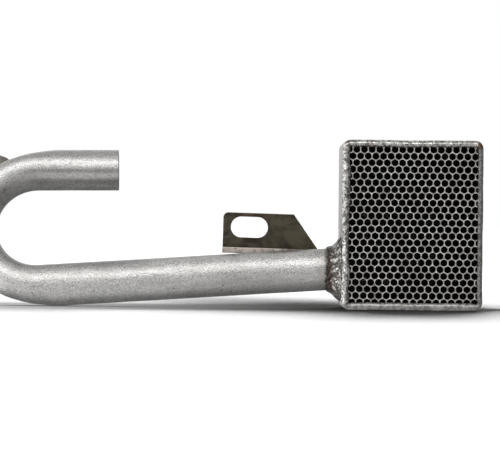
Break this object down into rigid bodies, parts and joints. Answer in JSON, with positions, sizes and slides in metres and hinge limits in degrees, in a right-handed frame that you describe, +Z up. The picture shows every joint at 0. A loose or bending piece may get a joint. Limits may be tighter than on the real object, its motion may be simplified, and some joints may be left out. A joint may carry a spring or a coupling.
{
  "type": "gas burner assembly",
  "caption": "Welded gas burner: a bent steel mixing tube feeds a rectangular sheet steel box with a metal honeycomb front, with a slotted bracket on the tube.",
  "frame": {"origin": "bottom centre of the bounding box, on the plane that the box's welds and the bend stand on", "axes": "+X along the tube's long run toward the box, -Y the way the honeycomb faces, +Z up"},
  "size_m": [0.33, 0.0656, 0.1059],
  "materials": {
    "tube_steel": "satin mill finish with fine speckle",
    "box_steel": "satin sheet",
    "honeycomb_foil": "satin strip",
    "perforated_sheet": "dull sheet",
    "weld_metal": "rough bead with heat tint",
    "bracket_steel": "dark oxide"
  },
  "bodies": {
    "root": {"mixing_tube": "tube_steel", "box_shell": "box_steel", "box_back_plate": "box_steel", "honeycomb_strip_01": "honeycomb_foil", "honeycomb_strip_02": "honeycomb_foil", "honeycomb_strip_03": "honeycomb_foil", "honeycomb_strip_04": "honeycomb_foil", "honeycomb_strip_05": "honeycomb_foil", "honeycomb_strip_06": "honeycomb_foil", "honeycomb_strip_07": "honeycomb_foil", "honeycomb_strip_08": "honeycomb_foil", "honeycomb_strip_09": "honeycomb_foil", "honeycomb_strip_10": "honeycomb_foil", "honeycomb_strip_11": "honeycomb_foil", "honeycomb_strip_12": "honeycomb_foil", "honeycomb_strip_13": "honeycomb_foil", "honeycomb_strip_14": "honeycomb_foil", "honeycomb_strip_15": "honeycomb_foil", "honeycomb_strip_16": "honeycomb_foil", "honeycomb_strip_17": "honeycomb_foil", "honeycomb_strip_18": "honeycomb_foil", "honeycomb_strip_19": "honeycomb_foil", "honeycomb_strip_20": "honeycomb_foil", "honeycomb_strip_21": "honeycomb_foil", "honeycomb_strip_22": "honeycomb_foil", "honeycomb_strip_23": "honeycomb_foil", "honeycomb_strip_24": "honeycomb_foil", "honeycomb_strip_25": "honeycomb_foil", "honeycomb_strip_26": "honeycomb_foil", "honeycomb_strip_27": "honeycomb_foil", "honeycomb_strip_28": "honeycomb_foil", "honeycomb_strip_29": "honeycomb_foil", "honeycomb_strip_30": "honeycomb_foil", "honeycomb_strip_31": "honeycomb_foil", "honeycomb_strip_32": "honeycomb_foil", "honeycomb_strip_33": "honeycomb_foil", "honeycomb_strip_34": "honeycomb_foil", "distribution_plate": "perforated_sheet", "rim_weld": "weld_metal", "rear_seam_weld": "weld_metal", "tube_weld": "weld_metal", "bracket_weld": "weld_metal", "rear_tab_weld": "weld_metal", "slotted_bracket": "bracket_steel", "rear_tab": "bracket_steel"}
  },
  "joints": []
}
